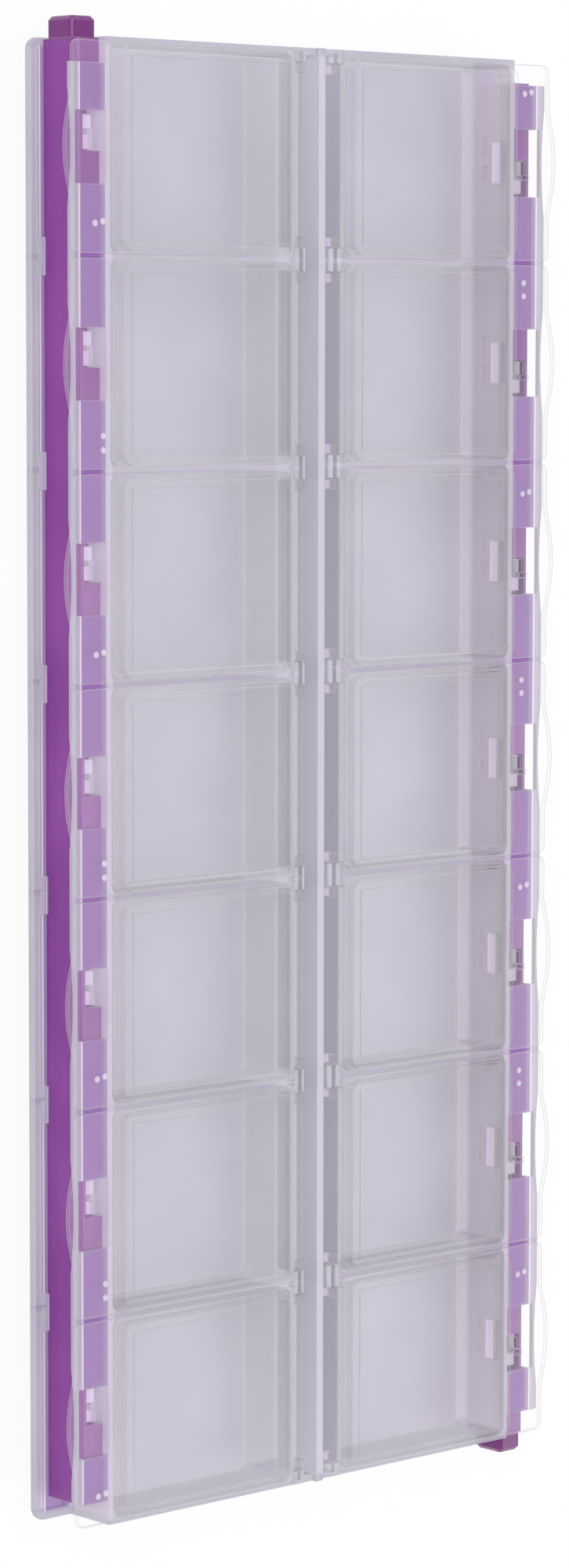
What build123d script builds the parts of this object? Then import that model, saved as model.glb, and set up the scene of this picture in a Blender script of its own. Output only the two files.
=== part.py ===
from build123d import *

import os

# Locking compartment caddy: a shallow tray with two columns of lidded pockets and a sliding
# lockbar down each long side. It lies on its flat back with the lids up: X across, Y along,
# Z up, origin under the middle of the tray. The right column (+X) is modelled, and the left
# one is the same mouldings turned half a turn about Z.

# The pattern of compartments
rows = 7
row_pitch = 45.0
end_margin = 0.45

# Tray
tray_height = 16.4
wall = 1.1
floor_thickness = 1.2
divider = 1.3
end_wall = 1.5
pocket_width = 51.1
pocket_corner = 2.0
gutter_half = 6.6
gutter_floor = 11.0
rib_half = 1.0
rib_height = 17.75
foot_radius = 2.5
plan_corner = 2.0

# Lockbar channel along each long side
channel_width = 6.7
rail_height = 3.4
ledge_thickness = 1.0
ledge_overhang = 1.9
lip_thickness = 1.0
lip_depth = 1.8
tab_height = 1.4
tab_length = 8.0
window_length = 15.2
window_rim = 1.3
scallop_length = 24.6
scallop_depth = 0.8
ledge_end_cut = 5.5

# Lockbar
bar_width = 6.1
bar_clearance = 0.3
bar_wall = 1.2
bar_top = 1.0
bar_travel = 4.2
bar_end_gap = 0.4
far_end_gap = 5.0
bar_corner = 0.5
knob_width = 6.8
knob_depth = 8.5
knob_drop = 1.2
knob_height = 4.2
knob_radius = 1.3
knob_chamfer = 0.8

# Lid
lid_gap = 1.0
lid_clearance = 0.25
lid_thickness = 1.1
lid_inner_edge = 5.9
lid_corner = 1.6
panel_rise = 2.0
panel_start = 8.1
panel_outer_inset = 1.0
panel_side_margin = 0.7
panel_corner = 3.0
recess_depth = 0.35
recess_border = 2.3
skirt_thickness = 1.0
skirt_depth = 1.55
skirt_clearance = 0.3
skirt_hinge_clearance = 0.5
lid_overhang = 0.2
finger_reach = 2.1
finger_length = 24.4
finger_root = 0.9
finger_flat = 11.0
finger_bow = 0.5
snap_length = 9.2
snap_thickness = 0.9
snap_depth = 5.1

# Hinge
hinge_x = 5.0
hinge_z = 15.3
pin_radius = 0.8
pin_clearance = 0.06
pin_engagement = 1.8
ear_reach = 1.3
ear_length = 2.1
ear_chamfer = 0.7
ear_gap = 0.3
post_reach = 1.6
post_top = 1.3
post_chamfer = 0.5
post_half = 2.5
socket_mouth = 1.2
socket_skin = 0.9
post_notch_clearance = 0.4

# Latch: the hook under each lid, and the slot in the lockbar whose end slides over its foot
hook_offset = 1.7
hook_length = 4.2
hook_web = 1.1
hook_foot = 1.2
foot_reach = 3.0
hook_clearance = 0.4
hook_end_clearance = 0.35
foot_clearance = 0.3
slot_depth = 4.6

# Shallow marks moulded into each pocket's outer wall
mark_depth = 0.5
mark_height = 1.8
mark_low = 7.3
mark_spans = ((4.0, 3.8), (-2.1, 2.9))

# How far a cutting shape runs past the face that it cuts
past = 1.0

# Places worked out from the sizes above
half_length = rows * row_pitch / 2 + end_margin
pocket_inner = gutter_half + wall
pocket_outer = pocket_inner + pocket_width
body_half = pocket_outer + wall
channel_outer = body_half + channel_width
tray_half = channel_outer + lip_thickness + ledge_overhang
pocket_half = (row_pitch - divider) / 2
ledge_low = tray_height - ledge_thickness
row_places = [(rows - 1) / 2 * row_pitch - i * row_pitch for i in range(rows)]
boundaries = [rows / 2 * row_pitch - i * row_pitch for i in range(rows + 1)]
sides = (1, -1)

plate_low = tray_height + lid_clearance
plate_top = plate_low + lid_thickness
panel_top = plate_top + panel_rise
lid_half = (row_pitch - lid_gap) / 2
panel_end = pocket_outer - panel_outer_inset
panel_half = lid_half - panel_side_margin
lid_outer = tray_half + lid_overhang
skirt_inner = pocket_inner + skirt_hinge_clearance
skirt_outer = pocket_outer - skirt_clearance
skirt_half = pocket_half - skirt_clearance

bar_inner = body_half + bar_clearance
bar_outer = bar_inner + bar_width
bar_low = rail_height + bar_clearance
bar_high = ledge_low - bar_clearance
bar_hollow_inner = bar_inner + bar_wall
bar_hollow_outer = bar_outer - bar_wall

# The knob end of the right lockbar points to -Y, and each hook's foot points that way too.
hook_near = -hook_offset - hook_length / 2
hook_far = -hook_offset + hook_length / 2
slot_near = hook_near - hook_end_clearance - bar_travel
slot_far = hook_far + hook_end_clearance
hook_inner = bar_hollow_inner + hook_clearance
hook_outer = bar_hollow_outer - hook_clearance
foot_top = bar_high - bar_top - foot_clearance
foot_low = foot_top - hook_foot


def block(x0, x1, y0, y1, z0, z1):
    """A box between two corners."""
    size = (x1 - x0, y1 - y0, z1 - z0)
    middle = ((x0 + x1) / 2, (y0 + y1) / 2, (z0 + z1) / 2)
    return Pos(*middle) * Box(*size)


def rounded_block(x0, x1, y0, y1, z0, z1, radius):
    """A box whose upright edges are rounded."""
    outline = RectangleRounded(x1 - x0, y1 - y0, radius)
    return Pos((x0 + x1) / 2, (y0 + y1) / 2, z0) * extrude(outline, z1 - z0)


def rod(radius, x, z, y0, y1):
    """A round bar along Y."""
    return Pos(x, (y0 + y1) / 2, z) * Rot(90, 0, 0) * Cylinder(radius, y1 - y0)


def half_turn(shape):
    """The same moulding on the other side of the caddy."""
    return Rot(0, 0, 180) * shape


def pocket(row_y):
    """The space inside one compartment, with the shallow marks in its outer wall."""
    space = rounded_block(
        pocket_inner, pocket_outer, row_y - pocket_half, row_y + pocket_half,
        floor_thickness, tray_height + past, pocket_corner,
    )
    for offset, length in mark_spans:
        middle = row_y + offset
        space += block(
            pocket_outer - mark_depth, pocket_outer + mark_depth,
            middle - length / 2, middle + length / 2,
            mark_low, mark_low + mark_height,
        )
    return space


def rail_hollow():
    """The space under a side rail, leaving its turned-down edge and a rib at each boundary."""
    end = half_length - end_wall
    hollow = block(body_half, tray_half - wall, -end, end, -past, rail_height - wall)
    for y in boundaries[1:-1]:
        hollow -= block(body_half, tray_half, y - divider / 2, y + divider / 2, -past, rail_height)
    return hollow


def rail_tabs():
    """Short upstands that keep a lockbar on its rail."""
    return [
        block(
            channel_outer, channel_outer + lip_thickness,
            y - tab_length / 2, y + tab_length / 2, rail_height - wall, rail_height + tab_height,
        )
        for y in boundaries[1:-1]
    ]


def scallop(row_y):
    """The shallow bite out of a ledge's edge, where a finger reaches under a lid's lip."""
    start = (tray_half, row_y - scallop_length / 2)
    end = (tray_half, row_y + scallop_length / 2)
    back = tray_half + past
    outline = [
        ThreePointArc(start, (tray_half - scallop_depth, row_y), end),
        Polyline(end, (back, end[1]), (back, start[1]), start),
    ]
    return extrude(make_face(outline), tray_height + past)


def ledge():
    """The upper ledge over a lockbar: a turned-down lip, and at each lid a window and a scallop."""
    reach = half_length - ledge_end_cut
    top = block(body_half - wall, tray_half, -reach, reach, ledge_low, tray_height)
    top += block(
        channel_outer, channel_outer + lip_thickness, -reach, reach, ledge_low - lip_depth, ledge_low,
    )
    for y in row_places:
        window = block(
            body_half, tray_half - window_rim, y - window_length / 2, y + window_length / 2,
            ledge_low - lip_depth - past, tray_height + past,
        )
        top -= [window, scallop(y)]
    return top


def hinge_post(y, side):
    """A hinge post at a row boundary, standing in the gutter against the column's inner wall."""
    low = max(y - post_half, -half_length)
    high = min(y + post_half, half_length)
    left, right = sorted((side * (hinge_x - post_reach), side * (gutter_half + wall / 2)))
    post = block(left, right, low, high, gutter_floor - wall / 2, hinge_z + post_top)
    inner = post.edges().filter_by(Axis.Y).group_by(Axis.Z)[-1].sort_by(lambda e: abs(e.center().X))[0]
    return chamfer(inner, post_chamfer)


def hinge_socket(y, side):
    """The bore of a post, where two lids' pins turn, with a narrower mouth that they snap in through."""
    low = max(y - post_half - past, -half_length + socket_skin)
    high = min(y + post_half + past, half_length - socket_skin)
    x = side * hinge_x
    mouth = block(
        x - socket_mouth / 2, x + socket_mouth / 2, low, high, hinge_z, hinge_z + post_top + past,
    )
    return rod(pin_radius + pin_clearance, x, hinge_z, low, high) + mouth


def is_foot(edge):
    """Whether an edge runs along the bottom of one end of the tray."""
    at = edge.center()
    return at.Z < foot_radius / 2 and abs(at.Y) > half_length - foot_radius / 2


def make_tray():
    """The tray: pockets, spine with hinge posts, and a lockbar channel down each long side."""
    tray = block(-body_half, body_half, -half_length, half_length, 0, tray_height)
    tray += rounded_block(-tray_half, tray_half, -half_length, half_length, 0, rail_height, plan_corner)
    tray = fillet(tray.edges().filter_by(is_foot), foot_radius)
    side = [ledge(), *rail_tabs()]
    tray += side
    tray += [half_turn(piece) for piece in side]

    cuts = [rail_hollow(), half_turn(rail_hollow())]
    for y in row_places:
        cuts += [pocket(y), half_turn(pocket(-y))]
    end = half_length - end_wall
    cuts.append(block(-gutter_half, gutter_half, -end, end, gutter_floor, tray_height + past))
    cuts.append(block(-gutter_half, gutter_half, -end, end, -past, gutter_floor - wall))
    tray -= cuts

    tray += block(-rib_half, rib_half, -half_length, half_length, gutter_floor - wall, rib_height)
    tray += [hinge_post(y, side) for y in boundaries for side in sides]
    tray -= [hinge_socket(y, side) for y in boundaries for side in sides]
    return tray


def finger_lip():
    """The outward bulge of a lid's edge that a finger lifts: two ramps and a shallow arc."""
    far = lid_outer + finger_reach - finger_bow
    start = (lid_outer, -finger_length / 2)
    first = (far, -finger_flat / 2)
    second = (far, finger_flat / 2)
    end = (lid_outer, finger_length / 2)
    inside = lid_outer - finger_root
    outline = [
        Line(start, first),
        ThreePointArc(first, (far + finger_bow, 0), second),
        Polyline(second, end, (inside, end[1]), (inside, start[1]), start),
    ]
    return Pos(0, 0, plate_low) * extrude(make_face(outline), lid_thickness)


def hinge_ear(side):
    """One ear under the lid's inner edge, with the pin that turns in the tray's post."""
    start = row_pitch / 2 - post_half - ear_gap
    y0, y1 = sorted((side * start, side * (start - ear_length)))
    ear = block(
        hinge_x - ear_reach, hinge_x + ear_reach, y0, y1,
        hinge_z - ear_reach, plate_low + lid_thickness / 2,
    )
    ear = chamfer(ear.edges().filter_by(Axis.Y), ear_chamfer)
    p0, p1 = sorted((side * (start - ear_length / 2), side * (start + ear_gap + pin_engagement)))
    return ear + rod(pin_radius, hinge_x, hinge_z, p0, p1)


def chamfered_block(x0, x1, y0, y1, z0, z1, cut):
    """A box whose upright edges are cut off at 45 degrees."""
    box = block(x0, x1, y0, y1, z0, z1)
    return chamfer(box.edges().filter_by(Axis.Z), cut)


def make_panel():
    """The raised panel of a lid, with its shallow recess, as a solid pad."""
    panel = rounded_block(
        panel_start, panel_end, -panel_half, panel_half, plate_low, panel_top, panel_corner,
    )
    return panel - block(
        panel_start + recess_border, panel_end - recess_border,
        -panel_half + recess_border, panel_half - recess_border,
        panel_top - recess_depth, panel_top + past,
    )


def make_hook():
    """The hook under a lid's free edge: an L-shaped stem, and a foot that points along the lockbar."""
    stem_top = plate_low + lid_thickness / 2
    stem = block(hook_inner, hook_inner + hook_web, hook_near, hook_far, foot_low, stem_top)
    stem += block(hook_inner, hook_outer, hook_near, hook_near + hook_web, foot_low, stem_top)
    return stem + block(hook_inner, hook_outer, hook_near - foot_reach, hook_far, foot_low, foot_top)


def make_lid():
    """A lid of the right column, centred on its row at y = 0, closed."""
    plate = block(lid_inner_edge, lid_outer, -lid_half, lid_half, plate_low, plate_top)
    lid = fillet(plate.edges().filter_by(Axis.Z).group_by(Axis.X)[-1], lid_corner)
    lid += [
        finger_lip(),
        make_panel(),
        chamfered_block(
            skirt_inner, skirt_outer, -skirt_half, skirt_half,
            plate_low - skirt_depth, plate_low, pocket_corner - skirt_clearance,
        ),
    ]
    hollow_start = max(panel_start + lid_thickness, skirt_inner + skirt_thickness)
    hollow_end = min(panel_end - lid_thickness, skirt_outer - skirt_thickness)
    hollow_half = min(panel_half - lid_thickness, skirt_half - skirt_thickness)
    lid -= chamfered_block(
        hollow_start, hollow_end, -hollow_half, hollow_half,
        plate_low - skirt_depth - past, panel_top - lid_thickness - recess_depth, pocket_corner / 2,
    )

    notch_edge = gutter_half + post_notch_clearance
    notch_start = row_pitch / 2 - post_half - ear_gap
    for side in sides:
        y0, y1 = sorted((side * notch_start, side * (lid_half + past)))
        lid -= block(lid_inner_edge - past, notch_edge, y0, y1, plate_low - past, plate_top + past)
        lid += hinge_ear(side)

    snap = block(
        skirt_outer - snap_thickness, skirt_outer, -snap_length / 2, snap_length / 2,
        plate_low - snap_depth, plate_low - skirt_depth / 2,
    )
    return lid + [snap, make_hook()]


def make_lockbar():
    """The right lockbar: a hollow bar open below, a knob at its -Y end and a slot at every lid."""
    knob_end = -half_length + bar_end_gap
    far_end = half_length - far_end_gap
    bar = block(bar_inner, bar_outer, knob_end, far_end, bar_low, bar_high)
    bar = chamfer(bar.edges().filter_by(Axis.Y).group_by(Axis.Z)[-1], bar_corner)
    bar -= block(
        bar_hollow_inner, bar_hollow_outer, knob_end + bar_wall, far_end - bar_wall,
        bar_low - past, bar_high - bar_top,
    )
    bar -= [
        block(
            bar_inner - past, bar_hollow_outer, y + slot_near, y + slot_far,
            bar_high - slot_depth, bar_high + past,
        )
        for y in row_places
    ]

    knob_top = bar_high - knob_drop
    knob_tip = -half_length - knob_height
    knob = block(
        bar_inner, bar_inner + knob_width, knob_tip, knob_end,
        knob_top - knob_depth, knob_top,
    )
    knob = fillet(knob.edges().filter_by(Axis.Y), knob_radius)
    return bar + chamfer(knob.faces().sort_by(Axis.Y)[0].edges(), knob_chamfer)


def main():
    os.makedirs("parts", exist_ok=True)
    export_step(make_tray(), "parts/tray.step")

    right_bar = make_lockbar()
    export_step(right_bar, "parts/lockbar_right.step")
    export_step(half_turn(right_bar), "parts/lockbar_left.step")

    right_lid = make_lid()
    left_lid = half_turn(right_lid)
    for number, y in enumerate(row_places, start=1):
        export_step(Pos(0, y, 0) * right_lid, f"parts/lid_right_{number}.step")
        export_step(Pos(0, y, 0) * left_lid, f"parts/lid_left_{number}.step")


main()
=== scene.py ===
"""Looks of a locking compartment caddy: frosted tray, clear lids and tinted lockbars.

Lengths are in metres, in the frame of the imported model: the caddy lies on its flat back at z = 0
with the lids up, its long side along Y.
"""

import math
from collections import namedtuple

import bmesh
import bpy
from mathutils import Matrix, Vector


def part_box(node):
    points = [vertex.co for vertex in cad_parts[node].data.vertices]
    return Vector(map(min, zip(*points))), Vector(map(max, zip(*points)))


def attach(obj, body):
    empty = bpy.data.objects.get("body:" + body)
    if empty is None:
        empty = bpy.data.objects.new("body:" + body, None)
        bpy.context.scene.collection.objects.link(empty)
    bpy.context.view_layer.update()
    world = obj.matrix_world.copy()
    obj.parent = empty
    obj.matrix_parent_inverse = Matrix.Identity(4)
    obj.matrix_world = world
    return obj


MM = 0.001

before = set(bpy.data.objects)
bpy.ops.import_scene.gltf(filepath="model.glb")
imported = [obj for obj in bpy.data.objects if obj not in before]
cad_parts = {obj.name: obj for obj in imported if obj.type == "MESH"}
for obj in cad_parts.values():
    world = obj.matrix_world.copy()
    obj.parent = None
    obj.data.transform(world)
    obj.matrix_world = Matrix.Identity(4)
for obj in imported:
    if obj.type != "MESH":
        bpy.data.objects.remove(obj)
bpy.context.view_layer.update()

# Camera: it looks down on the lids from the left and a little above, with the long side upright
VIEW_TURN = math.radians(42.0)
VIEW_TILT = math.radians(5.41)
VIEW_ROLL = math.radians(-0.07)
VIEW_DISTANCE = 1018.6 * MM
VIEW_AIM = (6.24 * MM, 2.16 * MM)
VIEW_PLANE = 15.1 * MM
VIEW_NEAR = 0.01
VIEW_FAR = 20.0
FOCAL_PIXELS = 5905.0
PHOTO_HEIGHT = 2000.0
SENSOR = 36.0

# Studio: how strong the surroundings light the caddy, and how much of the floor is plain white
# to the camera, where the rest of it keeps the shadow. A lamp has a place, a width and watts.
WHITE = (1.0, 1.0, 1.0)
WORLD_LIGHT = (1.0, 0.99, 1.0)
WORLD_STRENGTH = 0.80
FLOOR_COLOUR = (0.9, 0.9, 0.9)
FLOOR_WHITE = 0.88
FLOOR_HALF = 4.0
FLOOR_DROP = 0.1 * MM
LAMPS = {
    "key_lamp": ((-0.9, 0.5, 0.9), 0.8, 6.0),
    "fill_lamp": ((0.8, -0.4, 1.0), 0.9, 4.0),
}

# Colours, as linear red, green and blue
FROST = (0.38, 0.345, 0.445)
FROST_CLOUD = (0.46, 0.425, 0.525)
# Painted highlight: the tray's edges are painted paler
FROST_EDGE_HIGHLIGHT = (0.64, 0.62, 0.69)
# Painted light: the spine is painted lighter against the shade that falls in its channel
SPINE_PAINTED_LIGHT = (0.58, 0.555, 0.645)
# Painted light: the outer wall of the pockets is painted paler and purple, as light through the
# lockbar would make it
POCKET_WALL_PAINTED_LIGHT = (0.56, 0.49, 0.62)
# Painted light: the channel under the ledge is painted purple, as the lockbar beneath it lights it
LIT_BY_BAR = (0.225, 0.09, 0.335)
# Painted highlight: a bright line along the channel's outer lip
PAINTED_HIGHLIGHT_LINE = (0.82, 0.74, 0.86)
CLEAR = (0.80, 0.79, 0.83)
CLEAR_SCUFF = (0.86, 0.85, 0.88)
# Painted shade: the lids' edges are painted as thin darker outlines, in place of light bent at them
CLEAR_PAINTED_OUTLINE = (0.72, 0.70, 0.76)
# Hooks: partly the milky tone of their thick plastic, partly painted light that makes them paler and
# lilac
HOOK_TONE_AND_LIGHT = (0.84, 0.70, 0.95)
# Gate and pin marks: partly their own milky tone, partly a painted highlight that makes the small
# domes pale
MARK_TONE_AND_HIGHLIGHT = (0.78, 0.72, 0.83)
PURPLE = (0.20, 0.012, 0.26)
PURPLE_CLOUD = (0.28, 0.05, 0.35)
# Painted highlight: the lockbars' and knobs' edges are painted paler, in place of glints
PURPLE_EDGE_HIGHLIGHT = (0.50, 0.19, 0.56)
KNOB_TONE = (0.145, 0.004, 0.155)
NO_GLOW = (0.0, 0.0, 0.0)

# How much one surface of a plastic covers of what is behind it. A lid covers more where it is
# seen at a slant, as a painted sheen in place of its reflection, along its edges, where it shows
# a painted dark outline, and in its thick milky hooks.
TRAY_COVER = 0.62
BAR_COVER = 0.78
KNOB_COVER = 0.94
MARK_COVER = 0.5
LID_COVER = 0.06
LID_SLANT_COVER = 0.6
LID_SLANT_POWER = 3.0
LID_EDGE_COVER = 0.65
LID_THICK_COVER = 0.45

# The tint that a surface gives to the light that passes through it
TRAY_TINT = (0.90, 0.90, 0.915)
BAR_TINT = (0.86, 0.74, 0.89)
LID_TINT = (0.98, 0.98, 0.98)

# Plastic: the painted glow, a share of its tone that the tray and the lids' hooks give out though
# they are no lamp, in place of light scattered inside milky plastic; how it bends light, how its
# grain stands up, and the thin gloss on the lockbars
PAINTED_GLOW = 0.15
PLASTIC_IOR = 1.49
GRAIN_BUMP = 0.25
GRAIN_HEIGHT = 0.02 * MM
BAR_COAT = 0.1
BAR_COAT_ROUGHNESS = 0.05

# Noise in the plastic: flow clouds, moulding grain and long thin scuffs, in cells to the metre
CLOUD_SCALE = 42
GRAIN_SCALE = 2400
HAIR_SCALE = (1500, 60, 400)
HAIR_TURN = 0.5

# The values between which a noise, or the lean of a normal at an edge, comes in
CLOUD_SHOWS = (0.35, 0.70)
WEAR_SHOWS = (0.50, 0.62)
HAIR_SHOWS = (0.64, 0.72)
EDGE_SHOWS = (0.005, 0.18)
EDGE_SAMPLES = 3

# Stretches of the tray with a tone of their own, by their distance from the middle of the caddy:
# near side, far side, how soft those sides are, and tone. They are the spine, painted lighter
# against the shade in its channel, the outer wall of the pockets, painted paler and purple as
# light through the lockbar would make it, the channel, painted purple as the lockbar under the
# ledge lights it, and a painted highlight line beside it. The spine's near side is below zero, so
# that its soft side falls outside the tray.
CHANNEL_NEAR = 60.2 * MM
CHANNEL_FAR = 66.9 * MM
TRAY_STRETCHES = (
    (-10.0 * MM, 6.5 * MM, 2.5 * MM, SPINE_PAINTED_LIGHT),
    (58.3 * MM, CHANNEL_NEAR, 0.4 * MM, POCKET_WALL_PAINTED_LIGHT),
    (CHANNEL_NEAR, CHANNEL_FAR, 0.2 * MM, LIT_BY_BAR),
    (CHANNEL_FAR, 67.3 * MM, 0.1 * MM, PAINTED_HIGHLIGHT_LINE),
)

# Where those stretches have faded out before the ends of the tray, and over what length
STRETCH_END = 157.0 * MM
STRETCH_FADE = 1.5 * MM

# Below this height a lid has only its hooks, tabs and ears, whose thick plastic is milky; there
# the lid is also painted paler and lilac as painted light, with a painted glow
LID_FLANGE_LOW = 14.6 * MM
LID_MILKY_FADE = 0.6 * MM

# Where a lockbar's hollow length ends and its solid knob begins, from the middle of the caddy
KNOB_START = 157.0 * MM
KNOB_FADE = 0.6 * MM

# The two columns of lids, and the side of the spine on which each lies
COLUMNS = {"left": -1, "right": 1}
ROWS = 7

# Gate and pin marks: low domes on a lid's flange. Their places run outwards from the flange's
# outer edge and along the caddy from the lid's middle, and two patterns take turns.
FLANGE_TOP = 17.75 * MM
LIP_REACH = 2.1 * MM
MARK_RADIUS = 0.75 * MM
MARK_RISE = 0.3 * MM
MARK_SINK = 0.02 * MM
MARK_RINGS = 4
MARK_SIDES = 16
MARK_PLACES = (
    ((-7.8 * MM, 18.0 * MM), (-7.8 * MM, 15.0 * MM)),
    ((-7.8 * MM, 15.4 * MM), (-5.7 * MM, 15.8 * MM)),
)


def rgba(colour):
    """A colour with full alpha, for a socket."""
    return (*colour, 1.0)


def node(tree, kind, place=(0, 0), **settings):
    """A node of a tree, with its settings."""
    made = tree.nodes.new(kind)
    made.location = place
    for name, value in settings.items():
        setattr(made, name, value)
    return made


def new_group(name, inputs, outputs):
    """An empty shader group with named sockets, each given as (name, kind, default)."""
    tree = bpy.data.node_groups.new(name, "ShaderNodeTree")
    for socket, kind, default in inputs:
        made = tree.interface.new_socket(socket, in_out="INPUT", socket_type=kind)
        made.default_value = default
    for socket, kind in outputs:
        tree.interface.new_socket(socket, in_out="OUTPUT", socket_type=kind)
    return tree, node(tree, "NodeGroupInput", (-900, 0)), node(tree, "NodeGroupOutput", (700, 0))


def new_material(name):
    """An empty node material, and its tree."""
    material = bpy.data.materials.new(name)
    material.use_nodes = True
    material.node_tree.nodes.clear()
    return material, material.node_tree


def math_node(tree, operation, first, second, place=(0, 0), clamp=False):
    """A sum on two sockets or numbers, and its result."""
    made = node(tree, "ShaderNodeMath", place, operation=operation, use_clamp=clamp)
    for socket, value in zip(made.inputs, (first, second)):
        if isinstance(value, (int, float)):
            socket.default_value = value
        else:
            tree.links.new(value, socket)
    return made.outputs["Value"]


def ramp(tree, value, start, full, place=(0, 0)):
    """0 up to the start, 1 past the full value, which may be the lower, and a smooth step between."""
    made = node(tree, "ShaderNodeMapRange", place, interpolation_type="SMOOTHSTEP")
    made.inputs["From Min"].default_value = start
    made.inputs["From Max"].default_value = full
    tree.links.new(value, made.inputs["Value"])
    return made.outputs["Result"]


def band(tree, value, low, high, blur, place=(0, 0)):
    """1 between two values and 0 outside them."""
    rise = ramp(tree, value, low - blur, low + blur, place)
    fall = ramp(tree, value, high - blur, high + blur, place)
    return math_node(tree, "SUBTRACT", rise, fall, place)


def noise(tree, scale, detail, place):
    """A noise texture."""
    made = node(tree, "ShaderNodeTexNoise", place)
    made.inputs["Scale"].default_value = scale
    made.inputs["Detail"].default_value = detail
    return made


def toned_where(tree, mask, under, tone, place=(0, 0)):
    """A colour, given as a socket or a plain one, that gives way to a tone where the mask is 1."""
    made = node(tree, "ShaderNodeMix", place, data_type="RGBA")
    made.inputs["B"].default_value = rgba(tone)
    tree.links.new(mask, made.inputs["Factor"])
    if isinstance(under, tuple):
        made.inputs["A"].default_value = rgba(under)
    else:
        tree.links.new(under, made.inputs["A"])
    return made.outputs["Result"]


def place_on_piece(tree, place):
    """X, Y and Z on a piece as it is packed, whatever its joint does."""
    at = node(tree, "ShaderNodeTexCoord", place)
    parts = node(tree, "ShaderNodeSeparateXYZ", (place[0] + 200, place[1]))
    tree.links.new(at.outputs["Object"], parts.inputs["Vector"])
    return parts.outputs


def mixed_output(tree, kind, share, first, second):
    """Ends a tree in a mix of two shaders: the first at a share of 0, and the second at 1."""
    pick = node(tree, "ShaderNodeMixShader", (350, 0))
    output = node(tree, kind, (600, 0))
    tree.links.new(share, pick.inputs["Fac"])
    tree.links.new(first, pick.inputs[1])
    tree.links.new(second, pick.inputs[2])
    tree.links.new(pick.outputs["Shader"], output.inputs["Surface"])


def edge_line_group():
    """A mask that is 1 along sharp edges, and the normal with those edges softened."""
    tree, given, result = new_group(
        "edge_line",
        [("Radius", "NodeSocketFloat", 0.3 * MM)],
        [("Mask", "NodeSocketFloat"), ("Normal", "NodeSocketVector")],
    )
    soft = node(tree, "ShaderNodeBevel", (-600, 0), samples=EDGE_SAMPLES)
    plain = node(tree, "ShaderNodeNewGeometry", (-600, -250))
    turned = node(tree, "ShaderNodeVectorMath", (-350, 0), operation="DOT_PRODUCT")
    tree.links.new(given.outputs["Radius"], soft.inputs["Radius"])
    tree.links.new(soft.outputs["Normal"], turned.inputs[0])
    tree.links.new(plain.outputs["Normal"], turned.inputs[1])
    lean = math_node(tree, "SUBTRACT", 1.0, turned.outputs["Value"], (-150, 0))
    tree.links.new(ramp(tree, lean, *EDGE_SHOWS, (100, 0)), result.inputs["Mask"])
    tree.links.new(soft.outputs["Normal"], result.inputs["Normal"])
    return tree


def moulded_plastic_group():
    """Tone, roughness and relief of moulded plastic: soft flow clouds, fine grain, a few scuffs."""
    tree, given, result = new_group(
        "moulded_plastic",
        [
            ("Colour", "NodeSocketColor", (0.5, 0.5, 0.5, 1)),
            ("Cloud Colour", "NodeSocketColor", (0.7, 0.7, 0.7, 1)),
            ("Cloud Amount", "NodeSocketFloat", 0.4),
            ("Roughness", "NodeSocketFloat", 0.3),
            ("Grain", "NodeSocketFloat", 0.1),
            ("Scuffs", "NodeSocketFloat", 0.1),
        ],
        [
            ("Colour", "NodeSocketColor"),
            ("Roughness", "NodeSocketFloat"),
            ("Height", "NodeSocketFloat"),
        ],
    )
    place = node(tree, "ShaderNodeTexCoord", (-1200, 0))
    cloud = noise(tree, CLOUD_SCALE, 1, (-900, 300))
    grain = noise(tree, GRAIN_SCALE, 0, (-900, 0))
    stretch = node(tree, "ShaderNodeMapping", (-1100, -300))
    stretch.inputs["Rotation"].default_value = (0, 0, HAIR_TURN)
    stretch.inputs["Scale"].default_value = HAIR_SCALE
    hairs = noise(tree, 1, 0, (-900, -300))
    for texture in (cloud, grain, stretch):
        tree.links.new(place.outputs["Object"], texture.inputs["Vector"])
    tree.links.new(stretch.outputs["Vector"], hairs.inputs["Vector"])

    cloudy = ramp(tree, cloud.outputs["Fac"], *CLOUD_SHOWS, (-600, 300))
    amount = math_node(tree, "MULTIPLY", cloudy, given.outputs["Cloud Amount"], (0, 300))
    tone = node(tree, "ShaderNodeMix", (300, 300), data_type="RGBA")
    tree.links.new(amount, tone.inputs["Factor"])
    tree.links.new(given.outputs["Colour"], tone.inputs["A"])
    tree.links.new(given.outputs["Cloud Colour"], tone.inputs["B"])

    worn = ramp(tree, cloud.outputs["Fac"], *WEAR_SHOWS, (-600, -500))
    hair_line = ramp(tree, hairs.outputs["Fac"], *HAIR_SHOWS, (-600, -300))
    scuff = math_node(tree, "MULTIPLY", worn, hair_line, (-350, -400))
    scuffed = math_node(tree, "MULTIPLY", scuff, given.outputs["Scuffs"], (-150, -400))
    grained = math_node(tree, "MULTIPLY", grain.outputs["Fac"], given.outputs["Grain"], (-350, 0))
    height = math_node(tree, "ADD", grained, scuffed, (100, -250))
    rough = math_node(tree, "ADD", height, given.outputs["Roughness"], (300, 0), clamp=True)
    tree.links.new(tone.outputs["Result"], result.inputs["Colour"])
    tree.links.new(rough, result.inputs["Roughness"])
    tree.links.new(height, result.inputs["Height"])
    return tree


EDGE_LINE = edge_line_group()
MOULDED = moulded_plastic_group()

# What a material goes on from: its shader, the socket of its clouded tone, the mask of its edges,
# and the node that lays the painted edge tone, which stands in for light at the edges, over the
# clouded one
Plastic = namedtuple("Plastic", "shader clouded edge_mask edged")


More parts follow.
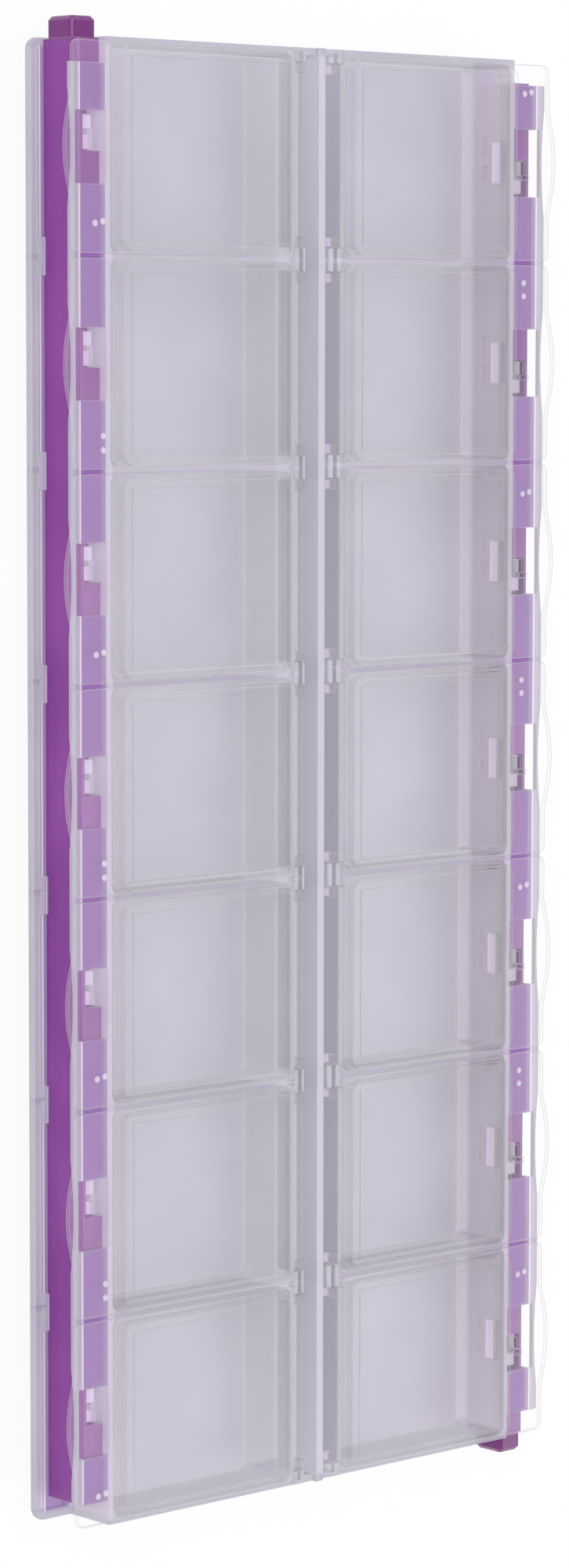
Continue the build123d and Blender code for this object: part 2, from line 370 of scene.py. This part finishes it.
def moulded_shader(tree, colour, cloud, edge, edge_radius, roughness, grain, scuffs):
    """A plastic's own shader: clouded tone, softened edges in a painted edge tone, fine grain and
    scuffs.
    """
    moulded = node(tree, "ShaderNodeGroup", (-900, 0), node_tree=MOULDED)
    moulded.inputs["Colour"].default_value = rgba(colour)
    moulded.inputs["Cloud Colour"].default_value = rgba(cloud)
    moulded.inputs["Roughness"].default_value = roughness
    moulded.inputs["Grain"].default_value = grain
    moulded.inputs["Scuffs"].default_value = scuffs
    line = node(tree, "ShaderNodeGroup", (-900, -300), node_tree=EDGE_LINE)
    line.inputs["Radius"].default_value = edge_radius
    edged = node(tree, "ShaderNodeMix", (-300, 0), data_type="RGBA")
    edged.inputs["B"].default_value = rgba(edge)
    bump = node(tree, "ShaderNodeBump", (-300, -300))
    bump.inputs["Strength"].default_value = GRAIN_BUMP
    bump.inputs["Distance"].default_value = GRAIN_HEIGHT
    shader = node(tree, "ShaderNodeBsdfPrincipled", (0, 0))
    shader.inputs["IOR"].default_value = PLASTIC_IOR
    tree.links.new(moulded.outputs["Colour"], edged.inputs["A"])
    tree.links.new(line.outputs["Mask"], edged.inputs["Factor"])
    tree.links.new(edged.outputs["Result"], shader.inputs["Base Color"])
    tree.links.new(moulded.outputs["Roughness"], shader.inputs["Roughness"])
    tree.links.new(moulded.outputs["Height"], bump.inputs["Height"])
    tree.links.new(line.outputs["Normal"], bump.inputs["Normal"])
    tree.links.new(bump.outputs["Normal"], shader.inputs["Normal"])
    return Plastic(shader, moulded.outputs["Colour"], line.outputs["Mask"], edged)


def finish_surface(tree, shader, light_tint):
    """The shader for what the camera sees, and a plain tint for the rays that carry light inside."""
    path = node(tree, "ShaderNodeLightPath", (0, 350))
    tint = node(tree, "ShaderNodeBsdfTransparent", (0, 150))
    tint.inputs["Color"].default_value = rgba(light_tint)
    mixed_output(
        tree, "ShaderNodeOutputMaterial",
        path.outputs["Is Camera Ray"], tint.outputs["BSDF"], shader.outputs["BSDF"],
    )


def make_frosted_tray():
    """Frosted plastic of the tray: milky, with a painted glow, painted light in stretches and along
    its edges, and painted purple where a lockbar lies under the ledge.
    """
    material, tree = new_material("frosted_tray")
    plastic = moulded_shader(
        tree, FROST, FROST_CLOUD, FROST_EDGE_HIGHLIGHT,
        edge_radius=0.35 * MM, roughness=0.34, grain=0.25, scuffs=0.05,
    )
    at = place_on_piece(tree, (-1500, 600))
    across = math_node(tree, "ABSOLUTE", at["X"], 0.0, (-1100, 700))
    along = math_node(tree, "ABSOLUTE", at["Y"], 0.0, (-1100, 500))
    between_ends = ramp(tree, along, STRETCH_END, STRETCH_END - STRETCH_FADE, (-900, 500))
    colour = plastic.clouded
    for low, high, blur, tone in TRAY_STRETCHES:
        strip = band(tree, across, low, high, blur, (-900, 700))
        strip = math_node(tree, "MULTIPLY", strip, between_ends, (-700, 500))
        colour = toned_where(tree, strip, colour, tone, (-500, 300))
    tree.links.new(colour, plastic.edged.inputs["A"])
    # Painted glow: the tray gives out a share of its own tone, though it is no lamp
    tree.links.new(plastic.edged.outputs["Result"], plastic.shader.inputs["Emission Color"])
    plastic.shader.inputs["Emission Strength"].default_value = PAINTED_GLOW
    plastic.shader.inputs["Alpha"].default_value = TRAY_COVER
    finish_surface(tree, plastic.shader, TRAY_TINT)
    return material


def make_clear_lid():
    """Clear plastic of the lids: nearly nothing face on, a painted sheen at a slant, thin painted
    dark lines at its edges, and milky hooks with painted light and a painted glow.
    """
    material, tree = new_material("clear_lid")
    plastic = moulded_shader(
        tree, CLEAR, CLEAR_SCUFF, CLEAR_PAINTED_OUTLINE,
        edge_radius=0.4 * MM, roughness=0.06, grain=0.03, scuffs=0.3,
    )
    # Painted sheen: the lid covers more where it is seen at a slant, in place of its reflection
    slant = node(tree, "ShaderNodeLayerWeight", (-800, 500))
    grazing = math_node(tree, "POWER", slant.outputs["Facing"], LID_SLANT_POWER, (-600, 500))
    slanted = math_node(tree, "MULTIPLY", grazing, LID_SLANT_COVER, (-400, 500))
    surface = math_node(tree, "ADD", slanted, LID_COVER, (-250, 500))
    # The edges cover more, to show their painted dark outline
    edges = math_node(tree, "MULTIPLY", plastic.edge_mask, LID_EDGE_COVER, (-400, 300))
    at = place_on_piece(tree, (-1100, 800))
    thick = ramp(tree, at["Z"], LID_FLANGE_LOW, LID_FLANGE_LOW - LID_MILKY_FADE, (-700, 800))
    milky = math_node(tree, "MULTIPLY", thick, LID_THICK_COVER, (-500, 800))
    cover = math_node(tree, "MAXIMUM", surface, edges, (-200, 400))
    cover = math_node(tree, "MAXIMUM", cover, milky, (-100, 600))
    edged = plastic.edged.outputs["Result"]
    hook_colour = toned_where(tree, thick, edged, HOOK_TONE_AND_LIGHT, (-200, 1000))
    # Painted glow from the hooks' paler tone, though they are no lamp
    hook_painted_glow = toned_where(tree, thick, NO_GLOW, HOOK_TONE_AND_LIGHT, (-200, 1200))
    tree.links.new(hook_colour, plastic.shader.inputs["Base Color"])
    tree.links.new(hook_painted_glow, plastic.shader.inputs["Emission Color"])
    plastic.shader.inputs["Emission Strength"].default_value = PAINTED_GLOW
    tree.links.new(cover, plastic.shader.inputs["Alpha"])
    finish_surface(tree, plastic.shader, LID_TINT)
    return material


def make_mould_mark():
    """The gate and pin marks that the mould leaves on a lid: milky, and pale with a painted
    highlight.
    """
    material, tree = new_material("mould_marks")
    plastic = moulded_shader(
        tree, MARK_TONE_AND_HIGHLIGHT, MARK_TONE_AND_HIGHLIGHT, MARK_TONE_AND_HIGHLIGHT,
        edge_radius=0.1 * MM, roughness=0.35, grain=0.1, scuffs=0.0,
    )
    plastic.shader.inputs["Alpha"].default_value = MARK_COVER
    finish_surface(tree, plastic.shader, TRAY_TINT)
    return material


def make_purple_bar():
    """Tinted see-through plastic of the lockbars, deeper in the solid knob at the end, with painted
    highlights along its edges.
    """
    material, tree = new_material("purple_lockbar")
    plastic = moulded_shader(
        tree, PURPLE, PURPLE_CLOUD, PURPLE_EDGE_HIGHLIGHT,
        edge_radius=0.4 * MM, roughness=0.12, grain=0.06, scuffs=0.2,
    )
    at = place_on_piece(tree, (-1500, 600))
    along = math_node(tree, "ABSOLUTE", at["Y"], 0.0, (-1100, 600))
    knob = ramp(tree, along, KNOB_START, KNOB_START + KNOB_FADE, (-900, 600))
    colour = toned_where(tree, knob, plastic.clouded, KNOB_TONE, (-600, 300))
    tree.links.new(colour, plastic.edged.inputs["A"])
    thicker = math_node(tree, "MULTIPLY", knob, KNOB_COVER - BAR_COVER, (-600, 600))
    cover = math_node(tree, "ADD", thicker, BAR_COVER, (-400, 600))
    tree.links.new(cover, plastic.shader.inputs["Alpha"])
    plastic.shader.inputs["Coat Weight"].default_value = BAR_COAT
    plastic.shader.inputs["Coat Roughness"].default_value = BAR_COAT_ROUGHNESS
    finish_surface(tree, plastic.shader, BAR_TINT)
    return material


FROSTED_TRAY = make_frosted_tray()
CLEAR_LID = make_clear_lid()
MOULD_MARK = make_mould_mark()
PURPLE_BAR = make_purple_bar()


def dress(name, material):
    """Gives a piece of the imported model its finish."""
    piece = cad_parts[name]
    piece.data.materials.clear()
    piece.data.materials.append(material)


def dress_pieces():
    """Each piece of the caddy gets the plastic it is moulded in."""
    dress("tray", FROSTED_TRAY)
    for column in COLUMNS:
        dress(f"lockbar_{column}", PURPLE_BAR)
        for row in range(1, ROWS + 1):
            dress(f"lid_{column}_{row}", CLEAR_LID)


def ring_of_points(mesh, x, y, z, radius):
    """Points of a mesh evenly round a circle."""
    turns = [2 * math.pi * i / MARK_SIDES for i in range(MARK_SIDES)]
    return [
        mesh.verts.new((x + radius * math.cos(turn), y + radius * math.sin(turn), z))
        for turn in turns
    ]


def mark_mesh(name, places, base_z):
    """Small low domes on a lid's flange, at the given places."""
    mesh = bmesh.new()
    neighbours = [(i, (i + 1) % MARK_SIDES) for i in range(MARK_SIDES)]
    for x, y in places:
        rings = []
        for ring in range(MARK_RINGS):
            turn = ring / MARK_RINGS * math.pi / 2
            z = base_z + MARK_RISE * math.sin(turn)
            rings.append(ring_of_points(mesh, x, y, z, MARK_RADIUS * math.cos(turn)))
        top = mesh.verts.new((x, y, base_z + MARK_RISE))
        for lower, upper in zip(rings, rings[1:]):
            for i, j in neighbours:
                mesh.faces.new((lower[i], lower[j], upper[j], upper[i]))
        for i, j in neighbours:
            mesh.faces.new((rings[-1][i], rings[-1][j], top))
        mesh.faces.new(list(reversed(rings[0])))
    data = bpy.data.meshes.new(name)
    mesh.to_mesh(data)
    mesh.free()
    for face in data.polygons:
        face.use_smooth = True
    made = bpy.data.objects.new(name, data)
    bpy.context.scene.collection.objects.link(made)
    return made


def add_marks():
    """Every lid carries gate and pin marks on its flange, beside the panel's outer corner."""
    for column, side in COLUMNS.items():
        for row in range(1, ROWS + 1):
            name = f"lid_{column}_{row}"
            low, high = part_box(name)
            middle = (low.y + high.y) / 2
            edge = high.x if side > 0 else low.x
            pattern = MARK_PLACES[row % len(MARK_PLACES)]
            places = [(edge + side * (x - LIP_REACH), middle + side * y) for x, y in pattern]
            pips = mark_mesh(f"pips_{column}_{row}", places, FLANGE_TOP - MARK_SINK)
            pips.data.materials.append(MOULD_MARK)
            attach(pips, name)


def add_camera():
    """The camera at the photograph's angle, with the caddy's long side upright in the frame."""
    turn = Matrix.Rotation(VIEW_TURN, 3, "Y")
    tilt = Matrix.Rotation(VIEW_TILT, 3, "X")
    roll = Matrix.Rotation(VIEW_ROLL, 3, "Z")
    from_view = (roll @ tilt @ turn).transposed()
    data = bpy.data.cameras.new("camera")
    data.sensor_width = SENSOR
    data.lens = FOCAL_PIXELS * SENSOR / PHOTO_HEIGHT
    data.clip_start = VIEW_NEAR
    data.clip_end = VIEW_FAR
    camera = bpy.data.objects.new("camera", data)
    bpy.context.scene.collection.objects.link(camera)
    place = from_view @ Vector((-VIEW_AIM[0], -VIEW_AIM[1], VIEW_DISTANCE))
    place.z += VIEW_PLANE
    camera.matrix_world = Matrix.Translation(place) @ from_view.to_4x4()
    bpy.context.scene.camera = camera


def seen_directly(tree):
    """1 for a ray from the camera, a reflection or glass, and 0 for light that falls on things."""
    path = node(tree, "ShaderNodeLightPath", (-700, 300))
    seen = path.outputs["Is Camera Ray"]
    seen = math_node(tree, "MAXIMUM", seen, path.outputs["Is Glossy Ray"], (-450, 300))
    return math_node(tree, "MAXIMUM", seen, path.outputs["Is Transmission Ray"], (-250, 300))


def add_world():
    """White studio surroundings, dimmer as light than as background."""
    world = bpy.data.worlds.new("studio")
    bpy.context.scene.world = world
    world.use_nodes = True
    tree = world.node_tree
    tree.nodes.clear()
    light = node(tree, "ShaderNodeBackground", (0, 0))
    light.inputs["Color"].default_value = rgba(WORLD_LIGHT)
    light.inputs["Strength"].default_value = WORLD_STRENGTH
    white = node(tree, "ShaderNodeBackground", (0, -200))
    white.inputs["Color"].default_value = rgba(WHITE)
    mixed_output(
        tree, "ShaderNodeOutputWorld",
        seen_directly(tree), light.outputs["Background"], white.outputs["Background"],
    )


def add_floor():
    """A plain white floor that keeps a faint shadow."""
    mesh = bmesh.new()
    bmesh.ops.create_grid(mesh, x_segments=1, y_segments=1, size=FLOOR_HALF)
    data = bpy.data.meshes.new("floor")
    mesh.to_mesh(data)
    mesh.free()
    floor = bpy.data.objects.new("floor", data)
    floor.location.z = -FLOOR_DROP
    bpy.context.scene.collection.objects.link(floor)
    material, tree = new_material("white_floor")
    matt = node(tree, "ShaderNodeBsdfDiffuse", (0, 0))
    matt.inputs["Color"].default_value = rgba(FLOOR_COLOUR)
    white = node(tree, "ShaderNodeEmission", (0, -200))
    white.inputs["Color"].default_value = rgba(WHITE)
    share = math_node(tree, "MULTIPLY", seen_directly(tree), FLOOR_WHITE, (0, 300))
    mixed_output(
        tree, "ShaderNodeOutputMaterial", share, matt.outputs["BSDF"], white.outputs["Emission"],
    )
    floor.data.materials.append(material)


def add_lamp(name, place, width, power):
    """A soft square lamp that points at the middle of the caddy."""
    data = bpy.data.lights.new(name, "AREA")
    data.shape = "SQUARE"
    data.size = width
    data.energy = power
    lamp = bpy.data.objects.new(name, data)
    lamp.location = place
    lamp.rotation_euler = (-Vector(place)).to_track_quat("-Z", "Y").to_euler()
    bpy.context.scene.collection.objects.link(lamp)


def main():
    """Dresses the caddy and sets it in its studio."""
    bpy.context.scene.view_settings.view_transform = "Standard"
    dress_pieces()
    add_marks()
    add_camera()
    add_world()
    add_floor()
    for name, (place, width, power) in LAMPS.items():
        add_lamp(name, place, width, power)


main()
